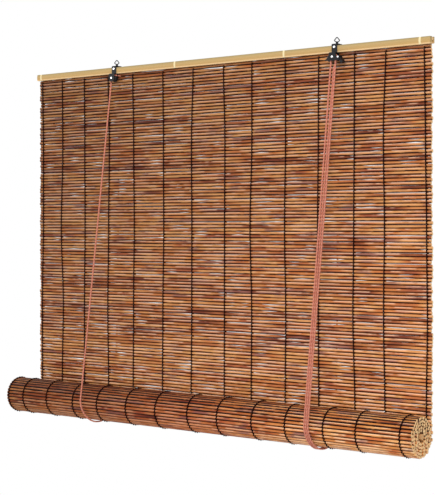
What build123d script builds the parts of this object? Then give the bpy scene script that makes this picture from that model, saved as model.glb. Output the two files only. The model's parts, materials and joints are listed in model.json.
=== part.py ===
from build123d import *
import math
import os

os.makedirs("parts", exist_ok=True)

# A bamboo roll-up blind, hung by two swivel rings and rolled up halfway.
# Millimetres. X runs along the headrail, the viewer stands at -Y, Z is up.
# The origin is on the line through the tops of both ring openings, at mid-width.

# Reed mat
mat_width = 1000.0
reed_pitch = 6.52
reed_thickness = 5.2
web_thickness = 1.3
web_height = 1.1
reed_shoulder = 1.7
hanging_reeds = 108
hidden_reeds = 2
light_gaps = 96
light_gap_length = 34.0
light_gap_height = 0.8
gap_drift = 8.0
warp_width = 2.0
warp_thickness = 1.1
warp_end_rise = 11.5
roll_warp_start = 0.12
roll_warp_end = 5.75
roll_warp_runs = 24
warp_shares = (0.010, 0.072, 0.140, 0.213, 0.284, 0.366, 0.445, 0.527, 0.596, 0.678, 0.754, 0.835, 0.902, 0.988)

# Roll
roll_radius = 40.5
turn_gap = 0.45
core_radius = 5.5
joint_gap = 0.4

# Battens of the headrail
rail_height = 13.3
rail_depth = 8.0
rail_crown = 1.2
rail_drop = 15.0
rear_batten_height = 12.0
rear_batten_depth = 3.5
node_shares = (0.012, 0.403, 0.679, 0.979)
node_width = 3.2
node_height = 0.35
brad_radius = 0.7
brad_head_radius = 1.6
brad_head_height = 0.6
brad_count = 7
clamp_gap = 0.1

# Swivel rings
wire_radius = 0.9
ring_half_width = 5.6
ring_height = 8.0
ring_shoulder = 5.4
ring_bend = 1.5
stem_radius = 1.5
stem_collar_radius = 2.5
stem_head_height = 1.2
swivel_clearance = 0.06
swivel_play = 0.15
swivel_turn = 34.0

# Saddle straps
strap_width = 12.0
strap_gauge = 1.2
strap_bend = 2.2
strap_gap = 0.1
strap_rise = 3.4
tab_width = 6.0
tab_length = 6.0
screw_radius = 1.3
screw_length = 6.5
screw_head_radius = 2.6
screw_head_height = 1.3
screw_drop = 3.2

# Pulleys
left_unit_x = -265.0
right_unit_x = 297.0
block_forward = 7.7
block_gap = 0.6
left_block_depth = 12.0
right_block_depth = 13.0
cheek_half_width = 8.0
cheek_corner = 3.0
cheek_web_width = 11.0
bell_top_width = 14.0
bell_bottom_width = 33.0
bell_height = 15.6
bell_lip = 1.6
bell_waist_width = 19.0
axle_radius = 1.5
axle_head_radius = 2.4
axle_head_height = 1.1
running_clearance = 0.05
wheel_side_gap = 0.25
left_groove_radius = 4.2
right_groove_radius = 3.2
groove_depth = 2.5

# Locking pawl
pawl_hub_radius = 3.0
pawl_pin_radius = 1.1
pawl_drop = 1.0
pawl_nose_reach = 4.3
pawl_nose_radius = 1.5
pawl_nose_angle = 20.0
pawl_tail_reach = 7.0
pawl_tail_drop = 10.0
pawl_tail_width = 3.4
pawl_teeth = 3
pawl_tooth_depth = 0.35
pawl_tooth_step = 38.0

# Cords
cord_radius = 1.85
cord_gap = 0.3
end_gap = 0.2
groove_gap = 0.15
strand_pitch = 4.2
left_roll_front_x = -299.0
left_roll_rear_x = -275.0
right_roll_front_x = 274.0
right_roll_rear_x = 289.0
knot_radius = 4.0
knot_height = 9.0
coil_radius = 20.0
coil_bundle_radius = 7.2
coil_rise = 44.0
tie_thickness = 1.0
tie_height = 7.0
wrap_corners = 4
strand_start_drop = 6.0
pull_b_x = 297.0
header_run_z = -21.5

# Heights
rail_top = -rail_drop
rail_bottom = rail_top - rail_height
mat_top = rail_top - clamp_gap
reed_count = hanging_reeds + hidden_reeds
mat_height = reed_count * reed_pitch
mat_bottom = mat_top - mat_height
roll_z = mat_bottom - joint_gap

# Depths, from the strap's middle plane outwards
strap_inner = rail_depth + reed_thickness + rear_batten_depth + 2 * clamp_gap + 2 * strap_gap
strap_front = -strap_inner / 2 - strap_gauge
rail_front = -strap_inner / 2 + strap_gap
rail_back = rail_front + rail_depth
mat_y = rail_back + clamp_gap + reed_thickness / 2
mat_back = mat_y + reed_thickness / 2
rear_front = mat_back + clamp_gap
rear_back = rear_front + rear_batten_depth
strip_radius = roll_radius - reed_thickness / 2
roll_y = mat_y - strip_radius
turn_pitch = reed_thickness + turn_gap
block_front = strap_front - block_forward
block_top = rail_bottom - block_gap
left_edge = -mat_width / 2


def across(share):
    """The place along X of a share of the mat's width."""
    return left_edge + share * mat_width


brad_xs = [across((index + 0.5) / brad_count) for index in range(brad_count)]
brad_z = rail_top - hidden_reeds * reed_pitch / 2 - clamp_gap
brad_tip = rail_front + rail_depth / 2
brad_seat = Plane((0, rear_back, brad_z), x_dir=(1, 0, 0), z_dir=(0, -1, 0))
brad_spots = [(x, 0) for x in brad_xs]
brad_hole_depth = rear_back - brad_tip + running_clearance


# Front batten: a split bamboo lath with a crowned face and its nodes left as low bands
with BuildPart() as headrail:
    with BuildSketch(Plane.YZ.offset(left_edge)):
        with BuildLine():
            Polyline(
                (rail_front + rail_crown, rail_top),
                (rail_back, rail_top),
                (rail_back, rail_bottom),
                (rail_front + rail_crown, rail_bottom),
            )
            ThreePointArc(
                (rail_front + rail_crown, rail_bottom),
                (rail_front, (rail_top + rail_bottom) / 2),
                (rail_front + rail_crown, rail_top),
            )
        make_face()
    extrude(amount=mat_width)
    for share in node_shares:
        with BuildSketch(Plane.YZ.offset(across(share) - node_width / 2)):
            with BuildLine():
                Line(
                    (rail_front + rail_crown, rail_bottom + node_height),
                    (rail_front + rail_crown, rail_top - node_height),
                )
                ThreePointArc(
                    (rail_front + rail_crown, rail_top - node_height),
                    (rail_front - node_height, (rail_top + rail_bottom) / 2),
                    (rail_front + rail_crown, rail_bottom + node_height),
                )
            make_face()
        extrude(amount=node_width)
    for unit_x in (left_unit_x, right_unit_x):
        screw_seat = Plane((unit_x, rail_front + screw_length, rail_top - screw_drop), z_dir=(0, -1, 0))
        with BuildSketch(screw_seat):
            Circle(screw_radius + running_clearance)
        extrude(amount=screw_length + strap_gauge, mode=Mode.SUBTRACT)
    with BuildSketch(brad_seat):
        with Locations(*brad_spots):
            Circle(brad_radius + running_clearance)
    extrude(amount=brad_hole_depth, mode=Mode.SUBTRACT)

# Rear batten, which clamps the top reeds against the front one
with BuildPart() as rear_batten:
    with BuildSketch(Plane.YZ.offset(left_edge)):
        with Locations(((rear_front + rear_back) / 2, rail_top - rear_batten_height / 2)):
            RectangleRounded(rear_batten_depth, rear_batten_height, rear_batten_depth / 4)
    extrude(amount=mat_width)
    with BuildSketch(brad_seat):
        with Locations(*brad_spots):
            Circle(brad_radius + running_clearance)
    extrude(amount=brad_hole_depth, mode=Mode.SUBTRACT)

# The brads that pin both battens through the top of the mat, driven from behind
with BuildPart() as batten_brads:
    with BuildSketch(brad_seat):
        with Locations(*brad_spots):
            Circle(brad_radius)
    extrude(amount=rear_back - brad_tip)
    with BuildSketch(brad_seat):
        with Locations(*brad_spots):
            Circle(brad_head_radius)
    extrude(amount=-brad_head_height)

# The hanging mat: round reeds side by side on a thin web, with gaps that let light through
def reed_edge_heights(index):
    """The heights where reed number index leaves the web above it and meets the web below it."""
    top = mat_top - index * reed_pitch
    return top - web_height / 2, top - reed_pitch + web_height / 2


header_hole_z = block_top - strap_gauge - cord_radius - cord_gap - 1.5
header_hole_xs = (left_unit_x + 19.0, right_unit_x - 15.5)

with BuildPart() as reed_mat:
    with BuildSketch(Plane.YZ.offset(left_edge)):
        with BuildLine():
            for index in range(reed_count):
                high, low = reed_edge_heights(index)
                for side in (-1, 1):
                    web_side = mat_y + side * web_thickness / 2
                    crest = mat_y + side * reed_thickness / 2
                    Polyline(
                        (web_side, high),
                        (crest, high - reed_shoulder),
                        (crest, low + reed_shoulder),
                        (web_side, low),
                    )
                    if index < reed_count - 1:
                        Line((web_side, low), (web_side, low - web_height))
            first_high = reed_edge_heights(0)[0]
            last_low = reed_edge_heights(reed_count - 1)[1]
            for end in (first_high, last_low):
                Line((mat_y - web_thickness / 2, end), (mat_y + web_thickness / 2, end))
        make_face()
    extrude(amount=mat_width)
    # Each gap lies between two warps, in one of the grooves, and the pattern never repeats
    bay_count = len(warp_shares) - 1
    with BuildSketch(Plane.XZ.offset(-mat_back - 1)):
        for gap in range(light_gaps):
            groove = hidden_reeds + 4 + (gap * 37) % (hanging_reeds - 6)
            bay = (gap * 5) % bay_count
            bay_middle = across((warp_shares[bay] + warp_shares[bay + 1]) / 2)
            gap_length = light_gap_length * (0.6 + 0.4 * math.cos(gap))
            with Locations((bay_middle + gap_drift * math.sin(2 * gap), mat_top - groove * reed_pitch)):
                Rectangle(gap_length, light_gap_height)
        for hole_x in header_hole_xs:
            with Locations((hole_x, header_hole_z)):
                SlotOverall(8 * cord_radius, 2 * cord_radius + 5 * cord_gap)
        for brad_x in brad_xs:
            with Locations((brad_x, brad_z)):
                Circle(brad_radius + running_clearance)
    extrude(amount=reed_thickness + 2, mode=Mode.SUBTRACT)

# Warp threads of the hanging mat, one down each face
with BuildPart() as mat_warps:
    for share in warp_shares:
        for side in (-1, 1):
            face_y = mat_y + side * (reed_thickness + warp_thickness + clamp_gap) / 2
            with BuildSketch(Plane.XY.offset(rail_bottom - clamp_gap)):
                with Locations((across(share), face_y)):
                    Rectangle(warp_width, warp_thickness)
            extrude(amount=mat_bottom + warp_end_rise - rail_bottom)


# The roll: the rest of the same mat wound on itself as one strip
def strip_place(angle, outward):
    """A point on the wound strip, at an angle from its outer end and a distance outwards of its middle."""
    radius = strip_radius - turn_pitch * angle / (2 * math.pi) + outward
    return roll_y + radius * math.cos(angle), roll_z - radius * math.sin(angle)


def strip_step(angle, length):
    """The angle a length further along the wound strip."""
    return angle + length / (strip_radius - turn_pitch * angle / (2 * math.pi))


inner_radius = core_radius + turn_gap + reed_thickness / 2
last_angle = (strip_radius - inner_radius) / turn_pitch * 2 * math.pi
rolled_angles = [(strip_step(0, web_height / 2), strip_step(0, reed_pitch - web_height / 2))]
while True:
    start_angle = strip_step(rolled_angles[-1][1], web_height)
    end_angle = strip_step(start_angle, reed_pitch - web_height)
    if end_angle > last_angle:
        break
    rolled_angles.append((start_angle, end_angle))

with BuildPart() as reed_roll:
    with BuildSketch(Plane.YZ.offset(left_edge)):
        with BuildLine():
            for index, (start_angle, end_angle) in enumerate(rolled_angles):
                for side in (-1, 1):
                    web_side = side * web_thickness / 2
                    crest = side * reed_thickness / 2
                    Polyline(
                        strip_place(start_angle, web_side),
                        strip_place(strip_step(start_angle, reed_shoulder), crest),
                        strip_place(strip_step(end_angle, -reed_shoulder), crest),
                        strip_place(end_angle, web_side),
                    )
                    if index < len(rolled_angles) - 1:
                        Line(strip_place(end_angle, web_side), strip_place(rolled_angles[index + 1][0], web_side))
            for angle in (rolled_angles[0][0], rolled_angles[-1][1]):
                Line(strip_place(angle, -web_thickness / 2), strip_place(angle, web_thickness / 2))
        make_face()
    extrude(amount=mat_width)

# The same warps where they run round the outermost turn
with BuildPart() as roll_warps:
    for share in warp_shares:
        with BuildSketch(Plane.YZ.offset(across(share) - warp_width / 2)):
            with BuildLine():
                warp_inner = reed_thickness / 2 + 3 * clamp_gap
                run_angle = (roll_warp_end - roll_warp_start) / roll_warp_runs
                for outward in (warp_inner, warp_inner + warp_thickness):
                    Polyline(
                        *[
                            strip_place(roll_warp_start + run * run_angle, outward)
                            for run in range(roll_warp_runs + 1)
                        ]
                    )
                for angle in (roll_warp_start, roll_warp_end):
                    Line(strip_place(angle, warp_inner), strip_place(angle, warp_inner + warp_thickness))
            make_face()
        extrude(amount=warp_width)

# The batten at the mat's lower end, which the roll is wound on
with BuildPart() as bottom_batten:
    with BuildSketch(Plane.YZ.offset(left_edge)):
        with Locations((roll_y, roll_z)):
            Circle(core_radius)
    extrude(amount=mat_width)

print("reeds hanging", reed_count, "reeds rolled", len(rolled_angles))
rolled_length = len(rolled_angles) * reed_pitch
print("rolled length", round(rolled_length), "drop unrolled", round(mat_height + rolled_length))
print("levels", rail_bottom, mat_bottom, roll_z, "depths", rail_front, mat_y, roll_y)

# Swivel rings: a headed stem through the strap's top, and a bent wire ring that a hook carries
strap_top = rail_top + strap_rise
stem_floor = strap_top - strap_gauge - swivel_play - stem_head_height
apex_half_angle = math.atan2(ring_half_width, ring_shoulder + wire_radius)
ring_apex = wire_radius + ring_bend * (1 / math.sin(apex_half_angle) - 1)


def swivel_ring(unit_x):
    """One ring with its stem, turned on the stem so that it faces the room's right-hand side."""
    turn = math.radians(swivel_turn)
    ring_plane = Plane(
        (unit_x, 0, 0),
        x_dir=(math.cos(turn), math.sin(turn), 0),
        z_dir=(math.sin(turn), -math.cos(turn), 0),
    )
    with BuildPart() as ring:
        with BuildLine(ring_plane) as wire:
            FilletPolyline(
                (0, ring_apex),
                (ring_half_width, -ring_shoulder),
                (0, -ring_height),
                (-ring_half_width, -ring_shoulder),
                radius=ring_bend,
                close=True,
            )
        with BuildSketch(Plane(wire.line @ 0, z_dir=wire.line % 0)):
            Circle(wire_radius)
        sweep(path=wire.line)
        with BuildSketch(Plane((unit_x, 0, strap_top + swivel_play))):
            Circle(stem_collar_radius)
        extrude(amount=-ring_height - strap_top - swivel_play)
        chamfer(ring.edges().filter_by(GeomType.CIRCLE).group_by(Axis.Z)[0], stem_collar_radius / 6)
        with BuildSketch(Plane((unit_x, 0, stem_floor))):
            Circle(stem_radius)
        extrude(amount=strap_top - stem_floor + swivel_play)
        with BuildSketch(Plane((unit_x, 0, stem_floor))):
            Circle(stem_collar_radius)
        extrude(amount=stem_head_height)
    return ring.part


def facing(depth):
    """The plane at a depth along Y, seen from the room, with extrusions coming towards the viewer."""
    return Plane.XZ.offset(-depth)


# Saddle straps: one steel strip folded over both battens, with a tab behind for the cord's knot
def saddle_strap(unit_x):
    leg_y = (strap_inner + strap_gauge) / 2
    with BuildPart() as strap:
        with BuildSketch(Plane.YZ.offset(unit_x - strap_width / 2)):
            with BuildLine():
                FilletPolyline(
                    (-leg_y, block_top),
                    (-leg_y, strap_top - strap_gauge / 2),
                    (leg_y, strap_top - strap_gauge / 2),
                    (leg_y, block_top),
                    radius=strap_bend,
                )
            trace(line_width=strap_gauge)
        extrude(amount=strap_width)
        with BuildSketch(facing(strap_inner / 2 + strap_gauge)):
            with Locations((unit_x, block_top - tab_length / 2)):
                Rectangle(tab_width, tab_length)
        extrude(amount=strap_gauge)
        with BuildSketch(Plane((unit_x, 0, strap_top))):
            Circle(stem_radius + swivel_clearance)
        extrude(amount=-strap_gauge, mode=Mode.SUBTRACT)
        with BuildSketch(facing(-strap_inner / 2)):
            with Locations((unit_x, rail_top - screw_drop)):
                Circle(screw_radius + running_clearance)
        extrude(amount=strap_gauge, mode=Mode.SUBTRACT)
    return strap.part


# Round-headed screws that hold the straps to the front batten
def strap_screw(unit_x):
    with BuildPart() as screw:
        with BuildSketch(facing(rail_front + screw_length - 2 * running_clearance)):
            with Locations((unit_x, rail_top - screw_drop)):
                Circle(screw_radius)
        extrude(amount=rail_front + screw_length - 2 * running_clearance - strap_front)
        with BuildSketch(facing(strap_front)):
            with Locations((unit_x, rail_top - screw_drop)):
                Circle(screw_head_radius)
        extrude(amount=screw_head_height)
        fillet(screw.faces().sort_by(Axis.Y)[0].edges(), screw_head_height * 0.75)
    return screw.part


def rivet(x, z, front, back):
    """A domed rivet along Y through two plates whose outer faces are at front and back."""
    with BuildPart() as pin:
        with BuildSketch(facing(back)):
            with Locations((x, z)):
                Circle(axle_radius)
        extrude(amount=back - front)
        for face_y, towards in ((front, 1), (back, -1)):
            with BuildSketch(facing(face_y)):
                with Locations((x, z)):
                    Circle(axle_head_radius)
            extrude(amount=towards * axle_head_height)
        fillet(pin.faces().sort_by(Axis.Y)[0].edges(), axle_head_height * 0.7)
        fillet(pin.faces().sort_by(Axis.Y)[-1].edges(), axle_head_height * 0.7)
    return pin.part


# Left pulley: a folded yoke under the headrail with one grooved wheel on a rivet
left_cord_turn = left_groove_radius + groove_gap + cord_radius
left_axle_z = block_top - strap_gauge - left_cord_turn - cord_radius - groove_gap
left_back = block_front + left_block_depth
left_wheel_y = block_front + left_block_depth / 2

with BuildPart() as left_yoke:
    for cheek_back in (block_front + strap_gauge, left_back):
        with BuildSketch(facing(cheek_back)) as cheek:
            with Locations((left_unit_x, left_axle_z)):
                Circle(cheek_half_width)
            with Locations((left_unit_x, (block_top + left_axle_z) / 2)):
                Rectangle(2 * cheek_half_width, block_top - left_axle_z)
            fillet(cheek.vertices().group_by(Axis.Y)[-1], cheek_corner)
        extrude(amount=strap_gauge)
    with BuildSketch(Plane((left_unit_x, left_wheel_y, block_top))):
        Rectangle(cheek_web_width, left_block_depth)
    extrude(amount=-strap_gauge)
    with BuildSketch(facing(left_back)):
        with Locations((left_unit_x, left_axle_z)):
            Circle(axle_radius + running_clearance)
    extrude(amount=left_block_depth, mode=Mode.SUBTRACT)


def pulley_wheel(x, z, middle_y, width, groove_radius):
    """A wheel that turns about Y, with a round groove for the cord."""
    rim = (width / 2 - cord_radius - groove_gap) * 0.8
    flange = groove_radius + groove_depth
    with BuildPart() as wheel:
        with BuildSketch(Plane((x, middle_y, z))):
            with BuildLine():
                Polyline((flange, -width / 2 + rim), (flange, -width / 2), (axle_radius + swivel_clearance, -width / 2))
                Polyline(
                    (axle_radius + swivel_clearance, -width / 2),
                    (axle_radius + swivel_clearance, width / 2),
                    (flange, width / 2),
                    (flange, width / 2 - rim),
                )
                ThreePointArc((flange, width / 2 - rim), (groove_radius, 0), (flange, -width / 2 + rim))
            make_face()
        revolve(axis=Axis((x, middle_y, z), (0, 1, 0)))
    return wheel.part


left_wheel_width = left_block_depth - 2 * strap_gauge - 2 * wheel_side_gap

# Right pulley and lock: a bell-shaped housing with two wheels on one rivet and a pawl
right_cord_turn = right_groove_radius + groove_gap + cord_radius
right_axle_z = block_top - strap_gauge - right_cord_turn - cord_radius - groove_gap
right_back = block_front + right_block_depth
right_wheel_width = (right_block_depth - 2 * strap_gauge - 3 * wheel_side_gap) / 2
lift_wheel_y = block_front + strap_gauge + wheel_side_gap + right_wheel_width / 2
pull_wheel_y = lift_wheel_y + right_wheel_width + wheel_side_gap
pull_strand_x = right_unit_x + right_cord_turn
nose_angle = math.radians(pawl_nose_angle)
nose_x = -pawl_nose_reach * math.cos(nose_angle)
nose_z = -pawl_nose_reach * math.sin(nose_angle)
pawl_x = pull_strand_x + cord_radius + cord_gap + pawl_nose_radius - nose_x
pawl_z = right_axle_z - pawl_drop
pawl_depth = right_block_depth - 2 * strap_gauge - 2 * wheel_side_gap
bell_bottom = block_top - bell_height

with BuildPart() as right_housing:
    for wall_back in (block_front + strap_gauge, right_back):
        with BuildSketch(facing(wall_back)):
            with BuildLine():
                Line(
                    (right_unit_x + bell_top_width / 2, block_top),
                    (right_unit_x - bell_top_width / 2, block_top),
                )
                Line(
                    (right_unit_x - bell_bottom_width / 2, bell_bottom + bell_lip),
                    (right_unit_x - bell_bottom_width / 2, bell_bottom),
                )
                Line(
                    (right_unit_x - bell_bottom_width / 2, bell_bottom),
                    (right_unit_x + bell_bottom_width / 2, bell_bottom),
                )
                Line(
                    (right_unit_x + bell_bottom_width / 2, bell_bottom),
                    (right_unit_x + bell_bottom_width / 2, bell_bottom + bell_lip),
                )
                for side in (-1, 1):
                    ThreePointArc(
                        (right_unit_x + side * bell_top_width / 2, block_top),
                        (right_unit_x + side * bell_waist_width / 2, block_top - bell_height / 2),
                        (right_unit_x + side * bell_bottom_width / 2, bell_bottom + bell_lip),
                    )
            make_face()
        extrude(amount=strap_gauge)
    with BuildSketch(Plane((right_unit_x, block_front + right_block_depth / 2, block_top))):
        Rectangle(bell_top_width, right_block_depth)
    extrude(amount=-strap_gauge)
    with BuildSketch(facing(right_back)):
        with Locations((right_unit_x, right_axle_z)):
            Circle(axle_radius + running_clearance)
        with Locations((pawl_x, pawl_z)):
            Circle(pawl_pin_radius + running_clearance)
    extrude(amount=right_block_depth, mode=Mode.SUBTRACT)

with BuildPart() as lock_pawl:
    with BuildSketch(facing(right_back - strap_gauge - wheel_side_gap)) as pawl_outline:
        with Locations((pawl_x, pawl_z)):
            Circle(pawl_hub_radius)
        with Locations((pawl_x + nose_x, pawl_z + nose_z)):
            Circle(pawl_nose_radius)
        make_hull()
        with BuildLine():
            Polyline(
                (pawl_x + pawl_hub_radius * 0.9, pawl_z),
                (pawl_x + pawl_tail_reach + pawl_tail_width, pawl_z - pawl_tail_drop),
                (pawl_x + pawl_tail_reach - pawl_tail_width / 2, pawl_z - pawl_tail_drop - pawl_tail_width / 2),
                (pawl_x - pawl_hub_radius * 0.4, pawl_z - pawl_hub_radius * 0.8),
                close=True,
            )
        make_face()
        with Locations((pawl_x, pawl_z)):
            Circle(pawl_pin_radius + swivel_clearance, mode=Mode.SUBTRACT)
        # Fine teeth across the nose, which bite the pull cords
        for tooth in range(pawl_teeth):
            notch = math.radians(180 + pawl_nose_angle + (tooth - (pawl_teeth - 1) / 2) * pawl_tooth_step)
            with Locations(
                (
                    pawl_x + nose_x + (pawl_nose_radius + pawl_tooth_depth / 3) * math.cos(notch),
                    pawl_z + nose_z + (pawl_nose_radius + pawl_tooth_depth / 3) * math.sin(notch),
                )
            ):
                Circle(pawl_tooth_depth, mode=Mode.SUBTRACT)
    extrude(amount=pawl_depth)

with BuildPart() as pawl_pin:
    with BuildSketch(facing(right_back)):
        with Locations((pawl_x, pawl_z)):
            Circle(pawl_pin_radius)
    extrude(amount=right_block_depth)
    for face_y, towards in ((block_front, 1), (right_back, -1)):
        with BuildSketch(facing(face_y)):
            with Locations((pawl_x, pawl_z)):
                Circle(pawl_pin_radius * 1.5)
        extrude(amount=towards * pawl_pin_radius / 2)


# Cords. A stretch is a straight tube, and a route is straight runs joined by tangent arcs.


def cord_along(points, radii):
    """A cord's tube along hand-chosen points, with one bend radius for each corner."""
    start, after_start = Vector(points[0]), Vector(points[1])
    before_end, end = Vector(points[-2]), Vector(points[-1])
    first = start + (after_start - start).normalized() * end_gap
    last = end + (before_end - end).normalized() * end_gap
    points = [first, *points[1:-1], last]
    with BuildPart() as tube:
        with BuildLine() as route:
            if radii:
                FilletPolyline(*points, radius=radii)
            else:
                Line(*points)
        path = route.wire()
        with BuildSketch(Plane(path @ 0, z_dir=path % 0)):
            Circle(cord_radius)
        sweep(path=path)
    length = path.length
    share = tube.part.volume / (math.pi * cord_radius**2 * length)
    print("cord", round(length, 1), "mm, volume over section times length", round(share, 4))
    return tube.part


def bend_radii(points):
    """The largest tangent arc at each corner: 0.45 of the shorter run over the tangent of half the turn."""
    radii = []
    for before, here, after in zip(points, points[1:], points[2:]):
        back, on = Vector(here) - Vector(before), Vector(after) - Vector(here)
        half_turn = math.radians(back.get_angle(on)) / 2
        radii.append(0.45 * min(back.length, on.length) / math.tan(half_turn))
    return radii


# The cords go round clear of the roll's widest turn, and leave its front towards the pulleys
cord_wrap = roll_radius + 2 * clamp_gap + warp_thickness + cord_gap + cord_radius
rear_cord_y = roll_y + cord_wrap
strand_top = bell_bottom - strand_start_drop
pull_b_top = strand_top - 22.0


def front_tangent(strand_y):
    """How far above level the cord leaves the front of the roll, as an angle, for a strand from this depth."""
    run = math.hypot(strand_y - roll_y, strand_top - roll_z)
    lean = math.atan2(strand_y - roll_y, strand_top - roll_z)
    return math.asin(cord_wrap / run) + lean


def on_roll(x, angle, radius):
    """A point round the roll, at an angle below its back."""
    return x, roll_y + radius * math.cos(angle), roll_z - radius * math.sin(angle)


def sling_points(front_x, rear_x, strand_y):
    """Corners of a cord's way under the roll, from where it meets the roll's front to its back."""
    total = math.pi + front_tangent(strand_y)
    half = total / wrap_corners / 2
    points = [on_roll(front_x, total, cord_wrap)]
    for corner in range(wrap_corners):
        angle = total - half * (2 * corner + 1)
        x = front_x + (rear_x - front_x) * (2 * corner + 1) / (2 * wrap_corners)
        points.append(on_roll(x, angle, cord_wrap / math.cos(half)))
    points.append(on_roll(rear_x, 0, cord_wrap))
    return points


sling_radius = 0.97 * cord_wrap
knot_y = (strap_inner + strap_gauge) / 2
knot_top = block_top - tab_length / 3
knot_bottom = knot_top - knot_height
left_strand_x = left_unit_x - left_cord_turn
lift_strand_x = right_unit_x - right_cord_turn
left_sling_points = sling_points(left_roll_front_x, left_roll_rear_x, left_wheel_y)
right_sling_points = sling_points(right_roll_front_x, right_roll_rear_x, lift_wheel_y)
pull_a_points = sling_points(
    right_roll_front_x + 2 * strand_pitch, right_roll_rear_x + 2 * strand_pitch, lift_wheel_y
)
pull_b_points = sling_points(right_roll_front_x + strand_pitch, right_roll_rear_x + strand_pitch, lift_wheel_y)

left_front_cord = cord_along([(left_strand_x, left_wheel_y, strand_top), left_sling_points[0]], [])
right_front_cord = cord_along([(lift_strand_x, lift_wheel_y, strand_top), right_sling_points[0]], [])
pull_cord_a = cord_along([(pull_strand_x, lift_wheel_y, strand_top), pull_a_points[0]], [])
pull_cord_b = cord_along([(pull_b_x, lift_wheel_y, pull_b_top), pull_b_points[0]], [])
left_rear_cord = cord_along([(left_unit_x, knot_y, knot_bottom), left_sling_points[-1]], [])
right_rear_cord = cord_along([(right_unit_x, knot_y, knot_bottom), right_sling_points[-1]], [])
left_sling = cord_along(left_sling_points, [sling_radius] * wrap_corners)
right_sling = cord_along(right_sling_points, [sling_radius] * wrap_corners)

# The pull cords' spare length is a round coil behind the mat, tied to the right rear cord
coil_x = right_unit_x + cord_radius + cord_gap + coil_radius + coil_bundle_radius
coil_y = mat_back + cord_gap + clamp_gap + tie_thickness + coil_bundle_radius
coil_z = roll_z + coil_rise
with BuildPart() as cord_coil:
    with BuildSketch(Plane((coil_x, coil_y, coil_z), x_dir=(1, 0, 0), z_dir=(0, 0, 1))):
        with Locations((coil_radius, 0)):
            Circle(coil_bundle_radius)
    revolve(axis=Axis((coil_x, coil_y, coil_z), (0, 1, 0)))

pull_a_tail = [
    (right_roll_rear_x + 2 * strand_pitch + 0.9, rear_cord_y, roll_z + 9.0),
    (right_roll_rear_x + 2 * strand_pitch + 7.0, rear_cord_y + 2.4, roll_z + 20.0),
    (coil_x - 9.0, coil_y, roll_z + 28.0),
]
pull_b_tail = [
    (right_roll_rear_x + strand_pitch + 1.5, rear_cord_y, roll_z + 15.0),
    (right_roll_rear_x + strand_pitch + 6.0, rear_cord_y + 2.4, roll_z + 29.0),
    (coil_x - 15.0, coil_y, roll_z + 36.0),
]
pull_a_route = pull_a_points[:-1] + pull_a_tail
pull_b_route = pull_b_points[:-1] + pull_b_tail
pull_a_radii = [sling_radius] * wrap_corners + [0.5 * r for r in bend_radii(pull_a_route)[wrap_corners:]]
pull_b_radii = [sling_radius] * wrap_corners + [0.5 * r for r in bend_radii(pull_b_route)[wrap_corners:]]
pull_sling_a = cord_along(pull_a_route, pull_a_radii) - cord_coil.part
pull_sling_b = cord_along(pull_b_route, pull_b_radii) - cord_coil.part

# The tie goes round the coil's near side and round the right rear cord
rear_cord_share = coil_rise / (knot_bottom - roll_z)
tied_x = right_roll_rear_x + (right_unit_x - right_roll_rear_x) * rear_cord_share
tied_y = rear_cord_y + (knot_y - rear_cord_y) * rear_cord_share
bundle_spot = (coil_x - coil_radius, coil_y)
with BuildPart() as coil_tie:
    with BuildSketch(Plane.XY.offset(coil_z - tie_height / 2)):
        with Locations(bundle_spot):
            Circle(coil_bundle_radius + clamp_gap + tie_thickness)
        with Locations((tied_x, tied_y)):
            Circle(cord_radius + cord_gap + tie_thickness)
        make_hull()
        with Locations(bundle_spot):
            Circle(coil_bundle_radius + clamp_gap, mode=Mode.SUBTRACT)
        with Locations((tied_x, tied_y)):
            Circle(cord_radius + cord_gap, mode=Mode.SUBTRACT)
    extrude(amount=tie_height)
    add(cord_coil.part, mode=Mode.SUBTRACT)

# The left cord's way over its wheel, back through the mat, behind the headrail and over the lock
header_y = rear_back + cord_gap + cord_radius + strap_gauge + strap_gap
left_over_z = left_axle_z + left_cord_turn
right_over_z = right_axle_z + right_cord_turn
header_points = [
    (left_strand_x, left_wheel_y, strand_top),
    (left_strand_x, left_wheel_y, left_over_z),
    (left_unit_x + cheek_half_width + 5.0, left_wheel_y, left_over_z),
    (header_hole_xs[0] + 1.0, mat_y, header_hole_z),
    (header_hole_xs[0] + 6.0, header_y, header_hole_z + 1.5),
    (header_hole_xs[0] + 22.0, header_y, header_run_z),
    (header_hole_xs[1] - 22.0, header_y, header_run_z),
    (header_hole_xs[1] - 6.0, header_y, header_hole_z + 1.5),
    (header_hole_xs[1] - 1.0, mat_y, header_hole_z),
    (right_unit_x - 10.5, pull_wheel_y, right_over_z),
    (pull_strand_x, pull_wheel_y, right_over_z),
    (pull_strand_x, pull_wheel_y, right_axle_z - 6.0),
    (pull_b_x, lift_wheel_y, pull_b_top + 12.0),
    (pull_b_x, lift_wheel_y, pull_b_top),
]
header_radii = bend_radii(header_points)
left_wheel_corner = 0
pull_wheel_corner = 9
wheel_bend_share = 0.97
header_radii[left_wheel_corner] = wheel_bend_share * left_cord_turn
header_radii[pull_wheel_corner] = wheel_bend_share * right_cord_turn
print("header radii", [round(r, 1) for r in header_radii])
header_cord = cord_along(header_points, header_radii)

lock_points = [
    (lift_strand_x, lift_wheel_y, strand_top),
    (lift_strand_x, lift_wheel_y, right_over_z),
    (pull_strand_x, lift_wheel_y, right_over_z),
    (pull_strand_x, lift_wheel_y, strand_top),
]
lock_cord = cord_along(lock_points, [0.99 * right_cord_turn] * 2)


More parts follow.
